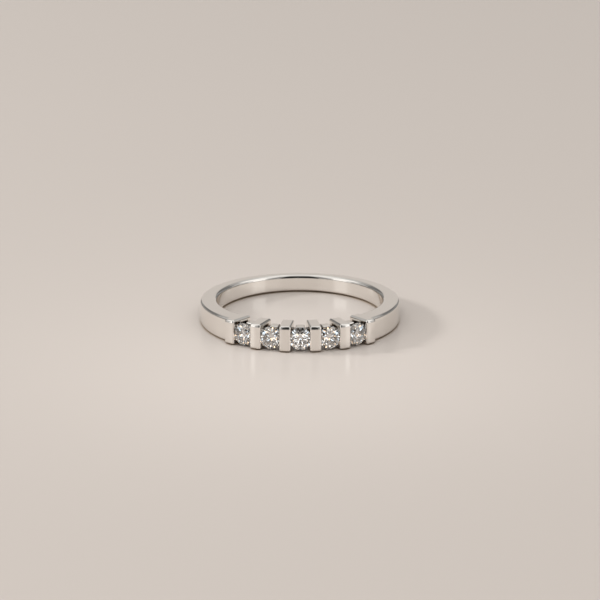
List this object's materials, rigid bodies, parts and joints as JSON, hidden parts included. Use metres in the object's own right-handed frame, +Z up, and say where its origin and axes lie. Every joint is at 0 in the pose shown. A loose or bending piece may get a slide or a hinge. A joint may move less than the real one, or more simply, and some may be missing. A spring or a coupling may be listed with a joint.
{
  "type": "half eternity ring",
  "caption": "Half eternity ring lying on its side: a tapering band, upright bars across the front and round brilliant stones held between the bars.",
  "frame": {"origin": "where the finger hole's axis meets the surface that the ring lies on", "axes": "+Z up from that surface, -Y towards the head with the stones, +Y towards the back of the band, X from side to side"},
  "size_m": [0.0206, 0.0209, 0.0028],
  "materials": {
    "white_gold": "polished white gold",
    "diamond": "clear, cut as a round brilliant"
  },
  "bodies": {
    "root": {"ring_body": "white_gold", "stone_1": "diamond", "stone_2": "diamond", "stone_3": "diamond", "stone_4": "diamond", "stone_5": "diamond"}
  },
  "joints": []
}
